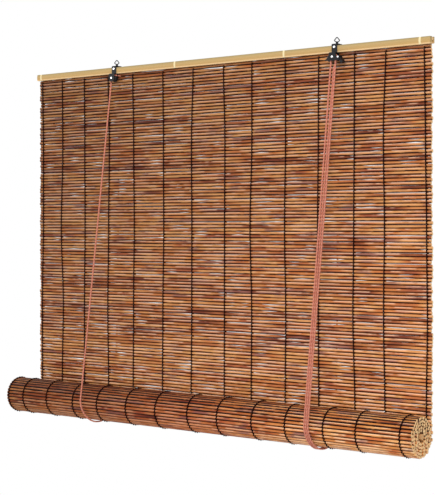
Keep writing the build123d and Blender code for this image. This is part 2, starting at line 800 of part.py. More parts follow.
def cord_knot(unit_x):
    """The knot that ties a rear cord to its strap's tab."""
    with BuildPart() as knot:
        with BuildSketch(Plane((unit_x, knot_y, knot_bottom), x_dir=(1, 0, 0), z_dir=(0, -1, 0))):
            with BuildLine():
                Line((0, 0), (knot_radius / 2, 0))
                ThreePointArc(
                    (knot_radius / 2, 0),
                    (knot_radius, knot_height / 2),
                    (knot_radius / 2, knot_height),
                )
                Line((knot_radius / 2, knot_height), (0, knot_height))
                Line((0, knot_height), (0, 0))
            make_face()
        revolve(axis=Axis((unit_x, knot_y, knot_bottom), (0, 0, 1)))
        with BuildSketch(facing(knot_y + strap_gauge / 2)):
            with Locations((unit_x, block_top - tab_length / 2)):
                Rectangle(tab_width, tab_length)
        extrude(amount=strap_gauge, mode=Mode.SUBTRACT)
    return knot.part


pieces = {
    "headrail_batten": headrail.part,
    "rear_batten": rear_batten.part,
    "batten_brads": batten_brads.part,
    "reed_mat": reed_mat.part,
    "mat_warps": mat_warps.part,
    "reed_roll": reed_roll.part,
    "roll_warps": roll_warps.part,
    "bottom_batten": bottom_batten.part,
    "left_strap": saddle_strap(left_unit_x),
    "left_screw": strap_screw(left_unit_x),
    "left_ring": swivel_ring(left_unit_x),
    "left_yoke": left_yoke.part,
    "left_axle": rivet(left_unit_x, left_axle_z, block_front, left_back),
    "left_wheel": pulley_wheel(left_unit_x, left_axle_z, left_wheel_y, left_wheel_width, left_groove_radius),
    "right_strap": saddle_strap(right_unit_x),
    "right_screw": strap_screw(right_unit_x),
    "right_ring": swivel_ring(right_unit_x),
    "right_housing": right_housing.part,
    "right_axle": rivet(right_unit_x, right_axle_z, block_front, right_back),
    "lift_wheel": pulley_wheel(
        right_unit_x, right_axle_z, lift_wheel_y, right_wheel_width, right_groove_radius
    ),
    "pull_wheel": pulley_wheel(
        right_unit_x, right_axle_z, pull_wheel_y, right_wheel_width, right_groove_radius
    ),
    "lock_pawl": lock_pawl.part,
    "pawl_pin": pawl_pin.part,
    "left_front_cord": left_front_cord,
    "left_rear_cord": left_rear_cord,
    "left_sling": left_sling,
    "left_knot": cord_knot(left_unit_x),
    "right_front_cord": right_front_cord,
    "right_rear_cord": right_rear_cord,
    "right_sling": right_sling,
    "right_knot": cord_knot(right_unit_x),
    "header_cord": header_cord,
    "lock_cord": lock_cord,
    "pull_cord_a": pull_cord_a,
    "pull_cord_b": pull_cord_b,
    "pull_sling_a": pull_sling_a,
    "pull_sling_b": pull_sling_b,
    "cord_coil": cord_coil.part,
    "coil_tie": coil_tie.part,
}
for name, piece in pieces.items():
    piece.label = name
    export_step(piece, f"parts/{name}.step")
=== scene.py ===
import json
import math

import bpy
import numpy as np
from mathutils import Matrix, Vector

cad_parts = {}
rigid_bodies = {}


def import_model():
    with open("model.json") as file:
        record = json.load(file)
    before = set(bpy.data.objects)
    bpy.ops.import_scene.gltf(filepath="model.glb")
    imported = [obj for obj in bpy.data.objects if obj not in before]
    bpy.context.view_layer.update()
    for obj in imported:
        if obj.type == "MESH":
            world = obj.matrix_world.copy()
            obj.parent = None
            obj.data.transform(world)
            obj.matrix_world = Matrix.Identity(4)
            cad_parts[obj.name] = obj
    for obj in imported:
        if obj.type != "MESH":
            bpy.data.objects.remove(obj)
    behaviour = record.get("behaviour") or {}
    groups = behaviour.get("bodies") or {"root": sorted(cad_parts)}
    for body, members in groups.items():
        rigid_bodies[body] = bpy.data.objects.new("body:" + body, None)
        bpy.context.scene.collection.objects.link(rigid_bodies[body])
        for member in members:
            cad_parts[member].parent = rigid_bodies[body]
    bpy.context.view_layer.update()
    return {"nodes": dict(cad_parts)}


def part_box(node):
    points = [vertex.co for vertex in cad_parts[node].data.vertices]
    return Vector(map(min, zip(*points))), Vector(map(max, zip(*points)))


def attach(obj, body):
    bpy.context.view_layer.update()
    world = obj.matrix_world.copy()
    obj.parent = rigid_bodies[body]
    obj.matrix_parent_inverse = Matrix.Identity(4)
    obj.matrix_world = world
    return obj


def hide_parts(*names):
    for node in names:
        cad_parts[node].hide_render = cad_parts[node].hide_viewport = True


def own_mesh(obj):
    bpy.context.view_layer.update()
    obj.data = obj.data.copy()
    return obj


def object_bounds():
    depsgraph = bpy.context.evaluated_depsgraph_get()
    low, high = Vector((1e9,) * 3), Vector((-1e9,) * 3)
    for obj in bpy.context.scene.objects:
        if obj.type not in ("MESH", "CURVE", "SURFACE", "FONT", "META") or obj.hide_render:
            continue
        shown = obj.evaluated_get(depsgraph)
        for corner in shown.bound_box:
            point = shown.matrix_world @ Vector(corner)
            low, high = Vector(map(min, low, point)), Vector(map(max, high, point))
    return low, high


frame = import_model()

nodes = frame["nodes"]
rng = np.random.default_rng(11)

# Driving dimensions, in metres, as the frame has them
REED_PITCH = 0.00652
REED_THICKNESS = 0.0052
REEDS_HANGING = 110
REEDS_ROLLED = 116
WARP_SHARES = (
    0.010, 0.072, 0.140, 0.213, 0.284, 0.366, 0.445, 0.527, 0.596, 0.678, 0.754, 0.835, 0.902, 0.988,
)
TURN_PITCH = 0.00565
CORD_RADIUS = 0.00185
ROLL_WARP_SHARES = (
    -0.024, 0.022, 0.093, 0.172, 0.242, 0.324, 0.405, 0.490, 0.562, 0.647, 0.726, 0.812, 0.882, 0.975,
)
ROLL_REACH = 0.026

mat_low, mat_high = (Vector(corner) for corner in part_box("reed_mat"))
rail_low, rail_high = (Vector(corner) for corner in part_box("headrail_batten"))
roll_core_low, roll_core_high = (Vector(corner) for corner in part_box("bottom_batten"))
MAT_WIDTH = mat_high.x - mat_low.x
MAT_Y = (mat_low.y + mat_high.y) / 2
MAT_TOP = mat_high.z
ROLL_Y = (roll_core_low.y + roll_core_high.y) / 2
ROLL_Z = (roll_core_low.z + roll_core_high.z) / 2
STRIP_RADIUS = MAT_Y - ROLL_Y


def clear_default_scene():
    for stale in list(bpy.data.objects):
        if stale.name in ("Cube", "Light", "Camera"):
            bpy.data.objects.remove(stale)


# Node helpers
class Shader:
    """A small builder for one material's node tree."""

    def __init__(self, name, roughness=0.5, metallic=0.0, specular=0.5):
        self.material = bpy.data.materials.new(name)
        self.material.use_nodes = True
        self.tree = self.material.node_tree
        self.bsdf = self.tree.nodes["Principled BSDF"]
        self.bsdf.inputs["Roughness"].default_value = roughness
        self.bsdf.inputs["Metallic"].default_value = metallic
        self.bsdf.inputs["Specular IOR Level"].default_value = specular

    def add(self, kind, **settings):
        node = self.tree.nodes.new(kind)
        for key, value in settings.items():
            setattr(node, key, value)
        return node

    def link(self, source, target):
        self.tree.links.new(source, target)

    def place(self, scale):
        """The object's own coordinates, stretched by a scale along each axis."""
        coordinates = self.add("ShaderNodeTexCoord")
        mapping = self.add("ShaderNodeMapping")
        mapping.inputs["Scale"].default_value = scale
        self.link(coordinates.outputs["Object"], mapping.inputs["Vector"])
        return mapping.outputs["Vector"]

    def noise(self, vector, scale, detail=3.0, roughness=0.55):
        node = self.add("ShaderNodeTexNoise")
        node.inputs["Scale"].default_value = scale
        node.inputs["Detail"].default_value = detail
        node.inputs["Roughness"].default_value = roughness
        self.link(vector, node.inputs["Vector"])
        return node.outputs["Fac"]

    def ramp(self, factor, stops):
        node = self.add("ShaderNodeValToRGB")
        elements = node.color_ramp.elements
        while len(elements) < len(stops):
            elements.new(0.5)
        for element, (position, colour) in zip(elements, stops):
            element.position = position
            element.color = (*colour, 1.0)
        self.link(factor, node.inputs["Fac"])
        return node.outputs["Color"]

    def mix(self, factor, first, second, blend="MIX"):
        node = self.add("ShaderNodeMix", data_type="RGBA", blend_type=blend)
        for key, value in (("Factor", factor), ("A", first), ("B", second)):
            socket = node.inputs[key]
            if isinstance(value, (int, float)):
                socket.default_value = value
            elif isinstance(value, tuple):
                socket.default_value = (*value, 1.0)
            else:
                self.link(value, socket)
        return node.outputs["Result"]

    def math(self, operation, first, second=0.0):
        node = self.add("ShaderNodeMath", operation=operation)
        for socket, value in zip(node.inputs, (first, second)):
            if isinstance(value, (int, float)):
                socket.default_value = value
            else:
                self.link(value, socket)
        return node.outputs["Value"]

    def bump(self, height, distance, strength=1.0):
        node = self.add("ShaderNodeBump")
        node.inputs["Distance"].default_value = distance
        node.inputs["Strength"].default_value = strength
        self.link(height, node.inputs["Height"])
        self.link(node.outputs["Normal"], self.bsdf.inputs["Normal"])

    def colour(self, source):
        self.link(source, self.bsdf.inputs["Base Color"])

    def roughness(self, factor, low, high):
        node = self.add("ShaderNodeMapRange")
        node.inputs["To Min"].default_value = low
        node.inputs["To Max"].default_value = high
        self.link(factor, node.inputs["Value"])
        self.link(node.outputs["Result"], self.bsdf.inputs["Roughness"])


def srgb(red, green, blue):
    """A colour given as 0 to 255 values on screen, as the shader's linear values."""
    return tuple(((value / 255 + 0.055) / 1.055) ** 2.4 if value > 10 else value / 255 / 12.92
                 for value in (red, green, blue))


# Materials
def reed_material(name, tones, groove_shade_colour, glint, groove_shade_share, colour_and_light_fade):
    """Stained split reeds: each has its own tone, with long patches, painted shade and dark streaks of
    painted shade along its lower edge where the grooves between reeds fall, and painted highlights along
    its upper edge. The attribute holds two random values for each reed, and the height across it from 0
    to 1. The last argument gives a fade that is partly the reeds' own uneven colour and partly painted
    light and shade: weights for X and Z, an offset, and its colours."""
    shader = Shader(name, roughness=0.5, specular=0.14)
    seed = shader.add("ShaderNodeAttribute", attribute_name="reed")
    parts = shader.add("ShaderNodeSeparateColor")
    shader.link(seed.outputs["Color"], parts.inputs["Color"])
    own_tone, own_offset, across = parts.outputs["Red"], parts.outputs["Green"], parts.outputs["Blue"]
    place = shader.add("ShaderNodeSeparateXYZ")
    shader.link(shader.place((1, 1, 1)), place.inputs["Vector"])

    def along(stretch, shift):
        """A noise place that runs along the reed and differs from reed to reed."""
        joined = shader.add("ShaderNodeCombineXYZ")
        shader.link(shader.math("MULTIPLY", place.outputs["X"], stretch), joined.inputs["X"])
        shader.link(shader.math("MULTIPLY", own_offset, 40.0 + shift), joined.inputs["Y"])
        shader.link(shader.math("MULTIPLY", own_tone, 17.0 + shift), joined.inputs["Z"])
        return joined.outputs["Vector"]

    def steps(factor, low, high):
        return shader.ramp(factor, ((low, (0.0,) * 3), (high, (1.0,) * 3)))

    patches = shader.noise(along(10.0, 0.0), 1.0, detail=2.0)
    blend = shader.math("ADD", shader.math("MULTIPLY", patches, 0.9), shader.math("MULTIPLY", own_tone, 0.4))
    base = shader.ramp(shader.math("SUBTRACT", blend, 0.15), tones)
    mauve = shader.noise(along(13.0, 9.0), 1.0, detail=1.0)
    base = shader.mix(shader.math("MULTIPLY", steps(mauve, 0.60, 0.68), 0.75), base, srgb(152, 108, 98))
    grain = shader.noise(shader.place((16, 1300, 1300)), 1.0, detail=3.0, roughness=0.7)
    base = shader.mix(0.6, base, shader.ramp(grain, ((0.3, (0.30,) * 3), (0.7, (1.3,) * 3))), "MULTIPLY")
    # Painted shade: the lower side of every reed is darkened, where the groove to the next reed lies.
    painted_under_shade = shader.ramp(across, ((0.20, (0.1,) * 3), (0.42, (1.06,) * 3)))
    base = shader.mix(0.9, base, painted_under_shade, "MULTIPLY")
    # Painted highlight: pale lines along the upper edge of each reed, where lamps would catch its crown.
    painted_highlight = shader.ramp(across, ((0.60, (0.0,) * 3), (0.72, (1.0,) * 3), (0.90, (1.0,) * 3), (1.0, (0.3,) * 3)))
    painted_highlight = shader.math("MULTIPLY", painted_highlight, steps(shader.noise(along(17.0, 3.0), 1.0, detail=3.0), 0.47, 0.55))
    base = shader.mix(shader.math("MULTIPLY", painted_highlight, 0.75), base, glint)
    # Painted shade: dark streaks that start and stop along the lower edge of each reed, in the grooves between
    # reeds.
    groove_shade = shader.noise(along(20.0, 5.0), 1.0, detail=3.0, roughness=0.6)
    low_edge = shader.ramp(across, ((0.28, (1.0,) * 3), (0.46, (0.0,) * 3)))
    groove_shade = shader.math("MULTIPLY", steps(groove_shade, groove_shade_share, groove_shade_share + 0.05), low_edge)
    base = shader.mix(groove_shade, base, groove_shade_colour)
    # Painted light and shade mixed with the reeds' own uneven colour: darker towards the left, and on the hanging
    # reeds also towards the top.
    weight_x, weight_z, offset, stops = colour_and_light_fade
    sideways = shader.math("MULTIPLY", place.outputs["X"], weight_x)
    upward = shader.math("MULTIPLY", place.outputs["Z"], weight_z)
    fade = shader.math("ADD", shader.math("ADD", sideways, upward), offset)
    shader.colour(shader.mix(1.0, base, shader.ramp(fade, stops), "MULTIPLY"))
    shader.roughness(grain, 0.4, 0.65)
    shader.bump(grain, 0.0003, 0.4)
    return shader.material


# Meshes
def tube_mesh(name, centres, outward, sideways, half_out, half_side, sides, tones, own_caps=False):
    """Many tubes as one mesh.

    centres, outward and sideways are arrays of tubes by rings by 3.
    half_out and half_side are arrays of tubes by rings.
    tones holds each tube's two random values. The blue channel is the height across the tube. With own_caps
    the tubes' flat ends take the piece's second material.
    """
    tubes, rings, _ = centres.shape
    turn = np.arange(sides) / sides * 2 * math.pi
    cosines, sines = np.cos(turn), np.sin(turn)
    points = (
        centres[:, :, None, :]
        + outward[:, :, None, :] * (half_out[:, :, None] * cosines)[..., None]
        + sideways[:, :, None, :] * (half_side[:, :, None] * sines)[..., None]
    )
    vertices = points.reshape(-1, 3)
    ring = np.arange(sides)
    following = (ring + 1) % sides
    faces = []
    for tube in range(tubes):
        base = tube * rings * sides
        for step in range(rings - 1):
            low = base + step * sides
            high = low + sides
            faces.extend(zip(low + ring, low + following, high + following, high + ring))
    face_count = len(faces)
    mesh = bpy.data.meshes.new(name)
    caps = []
    for tube in range(tubes):
        base = tube * rings * sides
        caps.append(tuple(int(v) for v in (base + ring[::-1])))
        caps.append(tuple(int(v) for v in (base + (rings - 1) * sides + ring)))
    mesh.from_pydata(vertices.tolist(), [], [tuple(int(v) for v in face) for face in faces] + caps)
    colour = np.ones((tubes, rings, sides, 4))
    colour[..., 0] = tones[:, 0][:, None, None]
    colour[..., 1] = tones[:, 1][:, None, None]
    colour[..., 2] = (0.5 + 0.5 * sines)[None, None, :]
    layer = mesh.attributes.new("reed", "FLOAT_COLOR", "POINT")
    layer.data.foreach_set("color", colour.reshape(-1))
    mesh.polygons.foreach_set("use_smooth", [True] * face_count + [False] * len(caps))
    if own_caps:
        mesh.polygons.foreach_set("material_index", [0] * face_count + [1] * len(caps))
    mesh.update()
    piece = bpy.data.objects.new(name, mesh)
    bpy.context.collection.objects.link(piece)
    return piece


def smooth_noise(count, samples, step, strength):
    """Rows of random values that vary smoothly along the row."""
    coarse = rng.normal(0, strength, (count, samples // step + 3))
    place = np.arange(samples) / step
    low = place.astype(int)
    share = place - low
    share = share * share * (3 - 2 * share)
    return coarse[:, low] * (1 - share) + coarse[:, low + 1] * share


def warp_lines(shares, rows, strength):
    """Each warp's X at each row of reeds, wandering a little to both sides."""
    wander = smooth_noise(len(shares), rows, 26, strength)
    straight = -MAT_WIDTH / 2 + np.array(shares) * MAT_WIDTH
    return straight[:, None] + wander


NEAR_WARP = np.array((-0.0050, -0.0024, 0.0006, 0.0040))
BAY_SHARES = np.array((0.25, 0.5, 0.75))
END_STAGGER = 0.0034
LEAST_SIZE = 0.92
BULGE_CHANCE = 0.015
BULGE_SIZE = 0.06
GAP_CHANCE = 0.045
GAP_SIZES = (0.08, 0.30)


def ring_places(warp_xs, start, stop):
    """The X of each ring of each reed: four near each warp and three in each bay, from end to end."""
    columns = [start[:, None]]
    for warp in range(len(warp_xs)):
        here = warp_xs[warp][:, None]
        columns.append(here + NEAR_WARP)
        if warp + 1 < len(warp_xs):
            following = warp_xs[warp + 1][:, None]
            columns.append(here * (1 - BAY_SHARES) + following * BAY_SHARES)
    columns.append(stop[:, None])
    return np.sort(np.concatenate(columns, axis=1), axis=1)


def reed_piece(name, places, outward_angles, warp_xs, sides, materials, wobble, left_reach=0.0):
    """Reeds along X at (y, z) places; an outward angle of 0 is +Y and of a quarter turn is -Z."""
    count = len(places)
    ends = rng.uniform(0, END_STAGGER, (count, 2))
    start = -MAT_WIDTH / 2 - left_reach + ends[:, 0]
    stop = MAT_WIDTH / 2 - ends[:, 1]
    xs = ring_places(warp_xs, start, stop)
    rings = xs.shape[1]
    out = np.stack([np.zeros(count), np.cos(outward_angles), -np.sin(outward_angles)], axis=1)
    side = np.stack([np.zeros(count), -np.sin(outward_angles), -np.cos(outward_angles)], axis=1)
    centres = np.zeros((count, rings, 3))
    centres[..., 0] = xs
    centres[..., 1:] = np.array(places)[:, None, :]
    centres += side[:, None, :] * smooth_noise(count, rings, 5, wobble)[..., None]
    size = rng.uniform(LEAST_SIZE, 1.0, (count, 1)) + smooth_noise(count, rings, 7, 0.012)
    bulge = np.where(rng.uniform(0, 1, (count, rings)) < BULGE_CHANCE, BULGE_SIZE, 0.0)
    has_gap = rng.uniform(0, 1, (count, rings)) < GAP_CHANCE
    dips = np.where(has_gap, rng.uniform(*GAP_SIZES, (count, rings)), 0.0)
    half_out = REED_THICKNESS / 2 * np.clip(size + bulge, 0.8, 1.0)
    half_side = REED_PITCH / 2 * (np.clip(size + 0.06, 0.99, 1.04) - dips)
    tones = rng.uniform(0, 1, (count, 2))
    spread = (count, rings, 3)
    outward = np.broadcast_to(out[:, None, :], spread)
    sideways = np.broadcast_to(side[:, None, :], spread)
    piece = tube_mesh(name, centres, outward, sideways, half_out, half_side, sides, tones, own_caps=True)
    for material in materials:
        piece.data.materials.append(material)
    return piece


def strip_radius_at(angle):
    return STRIP_RADIUS - TURN_PITCH * angle / (2 * math.pi)


def rolled_angles():
    """The angle of each rolled reed's middle along the wound strip."""
    angles = []
    angle = 0.5 * REED_PITCH / STRIP_RADIUS
    for _ in range(REEDS_ROLLED):
        angles.append(angle)
        angle += REED_PITCH / strip_radius_at(angle)
    return np.array(angles)


def curve_points(control, samples_per_run=8):
    """Points read along the smooth spline that has these control points."""
    curve = bpy.data.curves.new("route", "CURVE")
    curve.dimensions = "3D"
    curve.resolution_u = samples_per_run
    spline = curve.splines.new("NURBS")
    spline.points.add(len(control) - 1)
    for point, place in zip(spline.points, control):
        point.co = (*place, 1.0)
    spline.order_u = 3
    spline.use_endpoint_u = True
    holder = bpy.data.objects.new("route", curve)
    bpy.context.collection.objects.link(holder)
    bpy.context.view_layer.update()
    mesh = bpy.data.meshes.new_from_object(holder.evaluated_get(bpy.context.evaluated_depsgraph_get()))
    points = np.array([tuple(vertex.co) for vertex in mesh.vertices])
    bpy.data.objects.remove(holder)
    return points


def evenly(points, step):
    """The same line with evenly spaced points."""
    run = np.concatenate([[0.0], np.cumsum(np.linalg.norm(np.diff(points, axis=0), axis=1))])
    count = max(4, int(run[-1] / step))
    at = np.linspace(0, run[-1], count + 1)
    return np.stack([np.interp(at, run, points[:, axis]) for axis in range(3)], axis=1), at


ROPE_LAY = 0.0075
ROPE_STEP = 0.0014
ROPE_SIDES = 6
STRAND_OFFSET_SHARE = 0.46


def rope(name, control, node_names, radius=CORD_RADIUS, strands=3, step=ROPE_STEP):
    """A cord of twisted strands along the smooth line that has these control points."""
    line, at = evenly(curve_points(control), step)
    along = np.gradient(line, axis=0)
    along /= np.linalg.norm(along, axis=1)[:, None]
    normals = np.zeros_like(line)
    normal = np.cross(along[0], (0.9, 0.3, 0.2))
    for index, direction in enumerate(along):
        normal = normal - direction * np.dot(normal, direction)
        normal /= np.linalg.norm(normal)
        normals[index] = normal
    across = np.cross(along, normals)
    offset = 0.0 if strands == 1 else STRAND_OFFSET_SHARE * radius
    strand_radius = radius - offset
    centres = []
    for strand in range(strands):
        turn = 2 * math.pi * (at / ROPE_LAY + strand / strands)
        centres.append(line + offset * (np.cos(turn)[:, None] * normals + np.sin(turn)[:, None] * across))
    centres = np.array(centres)
    size = np.full(centres.shape[:2], strand_radius)
    tones = np.stack([np.linspace(0.35, 0.65, strands), np.full(strands, 0.5)], axis=1)
    outward = np.broadcast_to(normals, centres.shape)
    sideways = np.broadcast_to(across, centres.shape)
    piece = tube_mesh(name, centres, outward, sideways, size, size, ROPE_SIDES, tones)
    piece.data.materials.append(cord)
    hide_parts(*node_names)
    return piece, line, at[-1]


# The scene's materials
REED_TONES = (
    (0.20, srgb(118, 60, 38)),
    (0.34, srgb(176, 110, 66)),
    (0.46, srgb(204, 142, 86)),
    (0.58, srgb(220, 166, 106)),
    (0.68, srgb(198, 126, 72)),
    (0.80, srgb(160, 92, 60)),
)
ROLL_TONES = (
    (0.20, srgb(120, 52, 26)),
    (0.34, srgb(184, 102, 52)),
    (0.48, srgb(214, 136, 70)),
    (0.60, srgb(236, 170, 104)),
    (0.72, srgb(200, 110, 58)),
    (0.84, srgb(150, 74, 46)),
)
# The fade over the blind, partly the reeds' own uneven colour and partly painted light and shade, darker towards
# the upper left of the hanging reeds and the left of the roll: weights for X and Z, an offset and colours. It was
# tuned until the render's regions matched the photo's, so it holds some of the photo's light as well as colour.
MAT_COLOUR_AND_LIGHT_FADE = (0.293, -0.40, 0.515, ((0.0, (0.0,) * 3), (1.0, (1.36, 1.18, 1.12))))
ROLL_COLOUR_AND_LIGHT_FADE = (1.0, 0.0, 0.5, (
    (0.0, (0.48, 0.39, 0.38)), (0.25, (0.53, 0.38, 0.37)), (0.5, (0.74, 0.53, 0.55)),
    (0.75, (1.05, 1.00, 1.05)), (1.0, (1.16, 1.20, 1.28)),
))


def cut_end_material():
    shader = Shader("cut_reed_ends", roughness=0.8, specular=0.2)
    fibre = shader.noise(shader.place((200, 1400, 1400)), 1.0, detail=2.0)
    shader.colour(shader.ramp(fibre, ((0.32, srgb(220, 140, 80)), (0.50, srgb(255, 218, 162)))))
    shader.bump(fibre, 0.0003, 0.5)
    return shader.material


LATH_NODE_SHARES = (0.012, 0.403, 0.679, 0.979)


def lath_material():
    """Split bamboo: a grey-tan upper edge, a tan face, a painted highlight along its lower edge and pale lines at
    its nodes.
    """
    shader = Shader("split_bamboo_lath", roughness=0.5, specular=0.15)
    place = shader.add("ShaderNodeSeparateXYZ")
    shader.link(shader.place((1, 1, 1)), place.inputs["Vector"])
    height = shader.add("ShaderNodeMapRange")
    height.inputs["From Min"].default_value = rail_low.z
    height.inputs["From Max"].default_value = rail_high.z
    shader.link(place.outputs["Z"], height.inputs["Value"])
    # The palest stops at the foot of this ramp are a painted highlight along the lath's lower edge.
    base = shader.ramp(height.outputs["Result"], (
        (0.0, srgb(248, 214, 166)), (0.13, srgb(238, 198, 148)), (0.22, srgb(198, 160, 106)),
        (0.60, srgb(196, 164, 114)), (0.86, srgb(178, 158, 114)), (1.0, srgb(136, 122, 94)),
    ))
    fibre = shader.noise(shader.place((5, 900, 900)), 1.0, detail=4.0, roughness=0.65)
    base = shader.mix(0.5, base, shader.ramp(fibre, ((0.3, (0.72,) * 3), (0.7, (1.1,) * 3))), "MULTIPLY")
    cloud = shader.noise(shader.place((9, 40, 40)), 1.0)
    base = shader.mix(shader.math("MULTIPLY", cloud, 0.35), base, srgb(206, 170, 92))
    for share in LATH_NODE_SHARES:
        distance = shader.math("ABSOLUTE", shader.math("SUBTRACT", place.outputs["X"], (share - 0.5) * MAT_WIDTH))
        base = shader.mix(shader.math("LESS_THAN", distance, 0.0022), base, srgb(240, 222, 176))
    shader.colour(base)
    shader.bump(fibre, 0.0003, 0.4)
    return shader.material


def dowel_material():
    shader = Shader("round_dowel", roughness=0.6, specular=0.15)
    fibre = shader.noise(shader.place((8, 500, 500)), 1.0, detail=4.0)
    shader.colour(shader.ramp(fibre, ((0.35, srgb(188, 132, 82)), (0.65, srgb(232, 188, 134)))))
    shader.bump(fibre, 0.0003, 0.4)
    return shader.material


def thread_material():
    shader = Shader("dark_warp_thread", roughness=0.9, specular=0.05)
    fibre = shader.noise(shader.place((900, 900, 500)), 1.0, detail=2.0)
    shader.colour(shader.ramp(fibre, ((0.35, srgb(14, 4, 6)), (0.7, srgb(46, 18, 16)))))
    shader.bump(fibre, 0.0004, 0.8)
    return shader.material


def cord_material():
    """Twisted coral cord: each strand has its own tone, with fine fibres."""
    shader = Shader("twisted_cord", roughness=0.85, specular=0.1)
    seed = shader.add("ShaderNodeAttribute", attribute_name="reed")
    parts = shader.add("ShaderNodeSeparateColor")
    shader.link(seed.outputs["Color"], parts.inputs["Color"])
    fibre = shader.noise(shader.place((700, 700, 500)), 1.0, detail=2.0)
    own_tone = shader.math("MULTIPLY", parts.outputs["Red"], 0.6)
    tone = shader.math("ADD", shader.math("MULTIPLY", fibre, 0.5), own_tone)
    shader.colour(shader.ramp(tone, (
        (0.25, srgb(152, 82, 66)), (0.5, srgb(206, 128, 106)), (0.8, srgb(238, 172, 152)),
    )))
    shader.bump(fibre, 0.0003, 0.6)
    return shader.material


def black_paint_material():
    shader = Shader("black_painted_steel", roughness=0.4, specular=0.22)
    speckle = shader.noise(shader.place((1, 1, 1)), 350.0, detail=3.0)
    shader.colour(shader.ramp(speckle, ((0.3, srgb(6, 6, 9)), (0.7, srgb(20, 20, 25)))))
    shader.roughness(speckle, 0.35, 0.55)
    shader.bump(speckle, 0.0001, 0.3)
    return shader.material


def bright_metal_material():
    shader = Shader("bright_plated_steel", roughness=0.22, metallic=1.0)
    speckle = shader.noise(shader.place((1, 1, 1)), 500.0)
    shader.colour(shader.ramp(speckle, ((0.3, srgb(214, 214, 218)), (0.7, srgb(240, 240, 242)))))
    shader.roughness(speckle, 0.16, 0.34)
    return shader.material


def wheel_material():
    shader = Shader("black_moulded_nylon", roughness=0.55, specular=0.2)
    speckle = shader.noise(shader.place((1, 1, 1)), 420.0)
    shader.colour(shader.ramp(speckle, ((0.3, srgb(18, 18, 20)), (0.7, srgb(40, 40, 42)))))
    shader.bump(speckle, 0.0001, 0.4)
    return shader.material


cut_ends = cut_end_material()
# Of the colours given here, the dark one is painted shade in the grooves between reeds and the light one a painted
# highlight on each reed's upper edge.
mat_reeds = reed_material("stained_reeds", REED_TONES, srgb(46, 12, 8), srgb(240, 200, 168), 0.45, MAT_COLOUR_AND_LIGHT_FADE)
roll_reeds = reed_material(
    "stained_roll_reeds", ROLL_TONES, srgb(34, 8, 6), srgb(255, 206, 158), 0.40, ROLL_COLOUR_AND_LIGHT_FADE
)
lath = lath_material()
dowel = dowel_material()
thread = thread_material()
cord = cord_material()
black_paint = black_paint_material()
bright_metal = bright_metal_material()
wheel_black = wheel_material()


# The hanging reeds and the roll
MAT_WARP_XS = warp_lines(WARP_SHARES, REEDS_HANGING, 0.0019)
WOUND_REEDS = 40
ROLL_WARP_XS = warp_lines(ROLL_WARP_SHARES, REEDS_ROLLED, 0.0010)


def build_mat():
    places = [(MAT_Y, MAT_TOP - (index + 0.5) * REED_PITCH) for index in range(REEDS_HANGING)]
    angles = np.full(REEDS_HANGING, math.pi)
    piece = reed_piece("hanging_reeds", places, angles, MAT_WARP_XS, 8, (mat_reeds, cut_ends), 0.00020)
    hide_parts("reed_mat")
    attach(piece, "headrail")
    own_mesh(piece)


def rolled_places(angles):
    radii = np.array([strip_radius_at(angle) for angle in angles])
    return np.stack([ROLL_Y + radii * np.cos(angles), ROLL_Z - radii * np.sin(angles)], axis=1)


def build_roll():
    angles = rolled_angles()
    piece = reed_piece(
        "rolled_reeds", rolled_places(angles), angles, ROLL_WARP_XS, 7, (roll_reeds, cut_ends), 0.00012, ROLL_REACH
    )
    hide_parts("reed_roll")
    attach(piece, "roll")


# Warps: two threads twined round every reed, crossing in each groove
WARP_THREAD_RADIUS = 0.00125
WARP_SLANT = 0.0010
TWINE_SAMPLES = 5


def twine(name, reed_places, reed_outward, warp_xs):
    """For each warp, two threads that pass the reeds on opposite faces and swap between them."""
    count = len(reed_places)
    samples = (count - 1) * TWINE_SAMPLES + 1
    place = np.arange(samples) / TWINE_SAMPLES
    low = np.minimum(place.astype(int), count - 2)
    part = (place - low)[:, None]
    middle = reed_places[low] * (1 - part) + reed_places[low + 1] * part
    outward = reed_outward[low] * (1 - part) + reed_outward[low + 1] * part
    outward /= np.linalg.norm(outward, axis=1)[:, None]
    swing = np.cos(math.pi * place)
    swing = np.sign(swing) * np.abs(swing) ** 0.45
    reach = REED_THICKNESS / 2 + WARP_THREAD_RADIUS * 0.7
    centres, outs, sides = [], [], []
    for warp_x in warp_xs:
        for sign in (-1, 1):
            path = np.zeros((samples, 3))
            path[:, 0] = np.interp(place, np.arange(count), warp_x) + sign * WARP_SLANT * np.sin(math.pi * place)
            path[:, 1:] = middle + outward * (sign * swing * reach)[:, None]
            direction = np.gradient(path, axis=0)
            direction /= np.linalg.norm(direction, axis=1)[:, None]
            side = np.cross(direction, (1.0, 0.0, 0.0))
            side /= np.linalg.norm(side, axis=1)[:, None]
            centres.append(path)
            outs.append(side)
            sides.append(np.cross(direction, side))
    centres = np.array(centres)
    size = np.full(centres.shape[:2], WARP_THREAD_RADIUS)
    tones = rng.uniform(0, 1, (len(centres), 2))
    piece = tube_mesh(name, centres, np.array(outs), np.array(sides), size, size, 5, tones)
    piece.data.materials.append(thread)
    return piece


def build_warps():
    rows = np.arange(2, REEDS_HANGING)
    places = np.stack([np.full(len(rows), MAT_Y), MAT_TOP - (rows + 0.5) * REED_PITCH], axis=1)
    outward = np.tile((-1.0, 0.0), (len(rows), 1))
    piece = twine("mat_warp_threads", places, outward, MAT_WARP_XS[:, rows])
    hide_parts("mat_warps")
    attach(piece, "headrail")
    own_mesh(piece)

    angles = rolled_angles()[:WOUND_REEDS]
    outward = np.stack([np.cos(angles), -np.sin(angles)], axis=1)
    piece = twine("roll_warp_threads", rolled_places(angles), outward, ROLL_WARP_XS[:, :WOUND_REEDS])
    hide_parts("roll_warps")
    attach(piece, "roll")


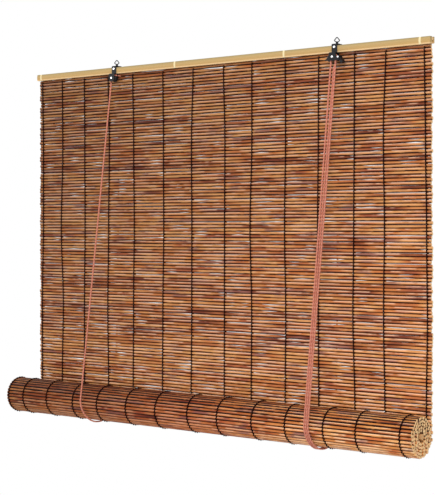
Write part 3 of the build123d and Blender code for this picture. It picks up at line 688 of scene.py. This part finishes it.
# Cord routes, in metres
LEFT_STRAND_TOP = (-0.2712, -0.01145, -0.0505)
RIGHT_STRAND_TOP = (0.2918, -0.01354, -0.0505)
PULL_A_TOP = (0.3022, -0.01354, -0.0505)
PULL_B_TOP = (0.2970, -0.01354, -0.0725)
LEFT_SLING = [
    (-0.299, -0.07774, -0.72848), (-0.296, -0.07955, -0.74653), (-0.29, -0.05588, -0.77404),
    (-0.284, -0.01945, -0.77636), (-0.278, 0.00795, -0.7514), (-0.275, 0.0083, -0.7327),
]
RIGHT_SLING = [
    (0.274, -0.07775, -0.72861), (0.27587, -0.07951, -0.74665), (0.27963, -0.0558, -0.77407),
    (0.28337, -0.01941, -0.77634), (0.28713, 0.00795, -0.75138), (0.289, 0.0083, -0.7327),
]
PULL_A_ROUTE = [
    (0.2824, -0.07775, -0.72861), (0.28427, -0.07951, -0.74665), (0.28802, -0.0558, -0.77407),
    (0.29177, -0.01941, -0.77634), (0.29552, 0.00795, -0.75138), (0.2983, 0.0083, -0.7237),
    (0.3044, 0.0107, -0.7127), (0.31735, 0.01345, -0.7047),
]
PULL_B_ROUTE = [
    (0.2782, -0.07775, -0.72861), (0.28007, -0.07951, -0.74665), (0.28382, -0.0558, -0.77407),
    (0.28757, -0.01941, -0.77634), (0.29133, 0.00795, -0.75138), (0.2947, 0.0083, -0.7177),
    (0.2965, 0.0095, -0.7050), (0.2980, 0.0115, -0.6940),
]
HEADER = [
    LEFT_STRAND_TOP, (-0.2712, -0.01145, -0.0321), (-0.2620, -0.01145, -0.0321),
    (-0.2550, 0.00225, -0.03375), (-0.2480, 0.0119, -0.03225), (-0.2240, 0.0119, -0.0215),
    (0.2595, 0.0119, -0.0215), (0.2755, 0.0119, -0.03225), (0.2805, 0.00225, -0.03375),
    (0.2865, -0.00836, -0.0321), (0.3022, -0.00836, -0.0321), (0.3022, -0.00836, -0.0433),
    (0.2970, -0.01354, -0.0605), PULL_B_TOP,
]
OVER_LOCK = [RIGHT_STRAND_TOP, (0.2918, -0.01354, -0.0321), (0.3022, -0.01354, -0.0321), PULL_A_TOP]
LEFT_REAR = [(-0.265, 0.00915, -0.0399), LEFT_SLING[-1]]
RIGHT_REAR = [(0.297, 0.00915, -0.0399), RIGHT_SLING[-1]]
COIL_CENTRE = (0.32635, 0.01345, -0.6887)
COIL_RADIUS = 0.020
COIL_TURNS = 12
COIL_POINTS = 14
COIL_START = math.radians(262)
COIL_END = math.radians(165)


def coil_points():
    """The wound turns: three in the middle of the bundle, and the rest round them."""
    slots = [(0.00214, math.radians(120 * index + 20)) for index in range(3)]
    slots += [(0.0053, math.radians(40 * index + 40)) for index in range(9)]
    total = 2 * math.pi * COIL_TURNS + COIL_END - COIL_START
    count = int(total / (2 * math.pi) * COIL_POINTS)
    points = []
    for index in range(count + 1):
        turn = COIL_START + total * index / count
        wound = (turn - COIL_END) / (2 * math.pi)
        slot = min(max(int(wound), 0), COIL_TURNS - 1)
        late = min(max((wound - slot - 0.86) / 0.14, 0), 1) if slot < COIL_TURNS - 1 else 0
        near, far = slots[slot], slots[min(slot + 1, COIL_TURNS - 1)]
        radial = near[0] * math.cos(near[1]) * (1 - late) + far[0] * math.cos(far[1]) * late
        depth = near[0] * math.sin(near[1]) * (1 - late) + far[0] * math.sin(far[1]) * late
        radius = (COIL_RADIUS + radial) * 1.02 + rng.uniform(-0.0003, 0.0003)
        points.append((
            COIL_CENTRE[0] + radius * math.cos(turn), COIL_CENTRE[1] + depth,
            COIL_CENTRE[2] + radius * math.sin(turn),
        ))
    return points


def strand(name, top, bottom, node):
    """A taut cord from a wheel to the roll, with a slight bow."""
    top, bottom = np.array(top), np.array(bottom)
    bow = np.array((0.0015, -0.001, 0.0)) * rng.uniform(-1, 1, 2)[:, None]
    control = [
        top, top * 0.96 + bottom * 0.04, top * 0.66 + bottom * 0.34 + bow[0], top * 0.3 + bottom * 0.7 + bow[1],
        top * 0.04 + bottom * 0.96, bottom,
    ]
    piece, line, length = rope(name, [tuple(point) for point in control], [node])
    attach(piece, "headrail")
    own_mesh(piece)
    return piece, line, length


KNOT_RADIUS = 0.0021
KNOT_HEIGHT = 0.0049
KNOT_STEPS = 28
KNOT_STEP_ANGLE = 0.55


def knot(name, x, node):
    """A stopper knot: the cord wound two and a half times round itself."""
    low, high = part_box(node)
    middle_y = (low[1] + high[1]) / 2
    turns = [
        (x + KNOT_RADIUS * math.cos(KNOT_STEP_ANGLE * step),
         middle_y + KNOT_RADIUS * math.sin(KNOT_STEP_ANGLE * step),
         high[2] - 0.002 - KNOT_HEIGHT * step / KNOT_STEPS)
        for step in range(KNOT_STEPS + 1)
    ]
    piece, _, _ = rope(name, turns, [node], step=0.0008)
    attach(piece, "headrail")


TIE_TURNS = 5
TIE_HEIGHT = 0.0052


def tie():
    """Thin cord wound round the coil and the rear lifting cord."""
    near = (COIL_CENTRE[0] - COIL_RADIUS, COIL_CENTRE[1], 0.0078)
    far = (0.28951, 0.00835, 0.00265)
    places = []
    for turn in range(TIE_TURNS):
        for (x, y, radius), start, stop, count in ((near, -90, 124, 8), (far, 124, 270, 5)):
            for index in range(count):
                angle = math.radians(start + (stop - start) * index / count)
                wound = (turn + (angle + math.pi / 2) / (2 * math.pi)) / TIE_TURNS
                height = COIL_CENTRE[2] + TIE_HEIGHT * (wound - 0.5)
                places.append((x + radius * math.cos(angle), y + radius * math.sin(angle), height))
    piece, _, _ = rope("coil_tie_cord", places, ["coil_tie"], radius=0.0006, strands=1, step=0.001)
    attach(piece, "cord_slings")
    return piece


def build_cords():
    strand("left_lift_strand", LEFT_STRAND_TOP, LEFT_SLING[0], "left_front_cord")
    strand("right_lift_strand", RIGHT_STRAND_TOP, RIGHT_SLING[0], "right_front_cord")
    strand("left_rear_strand", *LEFT_REAR, "left_rear_cord")
    strand("right_rear_strand", *RIGHT_REAR, "right_rear_cord")
    for name, route, node in (
        ("left_lift_sling", LEFT_SLING, "left_sling"), ("right_lift_sling", RIGHT_SLING, "right_sling"),
    ):
        piece, _, _ = rope(name, route, [node])
        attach(piece, "cord_slings")
    for name, route, node in (
        ("header_run", HEADER, "header_cord"), ("lock_run", OVER_LOCK, "lock_cord"),
    ):
        piece, _, _ = rope(name, route, [node])
        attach(piece, "headrail")
    knot("left_stopper_knot", -0.265, "left_knot")
    knot("right_stopper_knot", 0.297, "right_knot")

    for name, top, route, node in (
        ("pull_strand_a", PULL_A_TOP, PULL_A_ROUTE, "pull_cord_a"),
        ("pull_strand_b", PULL_B_TOP, PULL_B_ROUTE, "pull_cord_b"),
    ):
        piece, line, length = strand(name, top, route[0], node)
    tied = tie()
    control = PULL_A_ROUTE + coil_points() + PULL_B_ROUTE[::-1]
    piece, line, length = rope(
        "pull_cord_loop", control, ["pull_sling_a", "cord_coil", "pull_sling_b"]
    )
    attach(piece, "cord_slings")


def dress_hardware():
    finishes = {
        lath: ("headrail_batten", "rear_batten"),
        dowel: ("bottom_batten",),
        black_paint: (
            "left_strap", "right_strap", "left_ring", "right_ring", "left_yoke", "right_housing", "lock_pawl",
        ),
        bright_metal: ("left_axle", "right_axle", "pawl_pin", "left_screw", "right_screw", "batten_brads"),
        wheel_black: ("left_wheel", "lift_wheel", "pull_wheel"),
    }
    for material, names in finishes.items():
        for name in names:
            for slot in nodes[name].material_slots:
                slot.material = material


# Camera, lights, floor and background
FOCAL_PIXELS = 1332.2
FRAME_HEIGHT = 495.0
CAMERA_YAW = math.radians(38.028)
HORIZON_ROW = 228.16
CENTRE_COLUMN_SHIFT = 2.86
CAMERA_PLACE = (1.66976, -2.13185, -0.36068)
SENSOR_HEIGHT = 36.0
FLOOR_HALF = 1.6
WORLD_STRENGTH = 0.55


def build_camera():
    data = bpy.data.cameras.new("camera")
    data.sensor_fit = "VERTICAL"
    data.sensor_height = SENSOR_HEIGHT
    data.lens = FOCAL_PIXELS / FRAME_HEIGHT * data.sensor_height
    data.shift_y = (HORIZON_ROW - FRAME_HEIGHT / 2) / FRAME_HEIGHT
    data.shift_x = CENTRE_COLUMN_SHIFT / FRAME_HEIGHT
    camera = bpy.data.objects.new("camera", data)
    camera.location = CAMERA_PLACE
    camera.rotation_euler = (math.pi / 2, 0, CAMERA_YAW)
    bpy.context.collection.objects.link(camera)
    bpy.context.scene.camera = camera


def area_light(name, place, target, size, power):
    data = bpy.data.lights.new(name, "AREA")
    data.shape = "RECTANGLE"
    data.size = size[0]
    data.size_y = size[1]
    data.energy = power
    lamp = bpy.data.objects.new(name, data)
    lamp.location = place
    lamp.rotation_euler = (Vector(target) - Vector(place)).to_track_quat("-Z", "Y").to_euler()
    bpy.context.collection.objects.link(lamp)


def white_to_camera(tree, surface, output, output_socket):
    """Shows plain white to the camera, mirrors and glass, and the given surface to everything else."""
    path = tree.nodes.new("ShaderNodeLightPath")
    camera_or_glossy = tree.nodes.new("ShaderNodeMath")
    camera_or_glossy.operation = "MAXIMUM"
    tree.links.new(path.outputs["Is Camera Ray"], camera_or_glossy.inputs[0])
    tree.links.new(path.outputs["Is Glossy Ray"], camera_or_glossy.inputs[1])
    seen = tree.nodes.new("ShaderNodeMath")
    seen.operation = "MAXIMUM"
    tree.links.new(camera_or_glossy.outputs[0], seen.inputs[0])
    tree.links.new(path.outputs["Is Transmission Ray"], seen.inputs[1])
    white = tree.nodes.new("ShaderNodeBackground")
    white.inputs["Color"].default_value = (1, 1, 1, 1)
    white.inputs["Strength"].default_value = 1.0
    chosen = tree.nodes.new("ShaderNodeMixShader")
    tree.links.new(seen.outputs[0], chosen.inputs["Fac"])
    tree.links.new(surface, chosen.inputs[1])
    tree.links.new(white.outputs[0], chosen.inputs[2])
    tree.links.new(chosen.outputs[0], output.inputs[output_socket])


def build_world():
    world = bpy.data.worlds.new("studio")
    world.use_nodes = True
    tree = world.node_tree
    light = tree.nodes["Background"]
    light.inputs["Color"].default_value = (1.0, 0.99, 0.97, 1)
    light.inputs["Strength"].default_value = WORLD_STRENGTH
    white_to_camera(tree, light.outputs[0], tree.nodes["World Output"], "Surface")
    bpy.context.scene.world = world


def build_floor():
    half = FLOOR_HALF
    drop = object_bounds()[0][2] - 0.75
    mesh = bpy.data.meshes.new("floor")
    mesh.from_pydata([(-half, -half, drop), (half, -half, drop), (half, half, drop), (-half, half, drop)], [],
                     [(0, 1, 2, 3)])
    floor = bpy.data.objects.new("floor", mesh)
    bpy.context.collection.objects.link(floor)
    shader = Shader("floor", roughness=0.9, specular=0.1)
    cloud = shader.noise(shader.place((1, 1, 1)), 2.0)
    shader.colour(shader.ramp(cloud, ((0.0, (0.86,) * 3), (1.0, (0.9,) * 3))))
    floor.data.materials.append(shader.material)


clear_default_scene()
build_mat()
build_roll()
build_warps()
build_cords()
dress_hardware()
build_camera()
area_light("key", (1.6, -2.6, 1.3), (0, 0, -0.35), (1.6, 1.6), 60)
area_light("fill", (-2.2, -2.4, 0.2), (0, 0, -0.4), (1.6, 1.6), 22)
area_light("rim", (0.3, 2.4, 1.6), (0, 0, -0.3), (1.8, 1.0), 20)
build_world()
build_floor()
bpy.context.scene.view_settings.view_transform = "Standard"
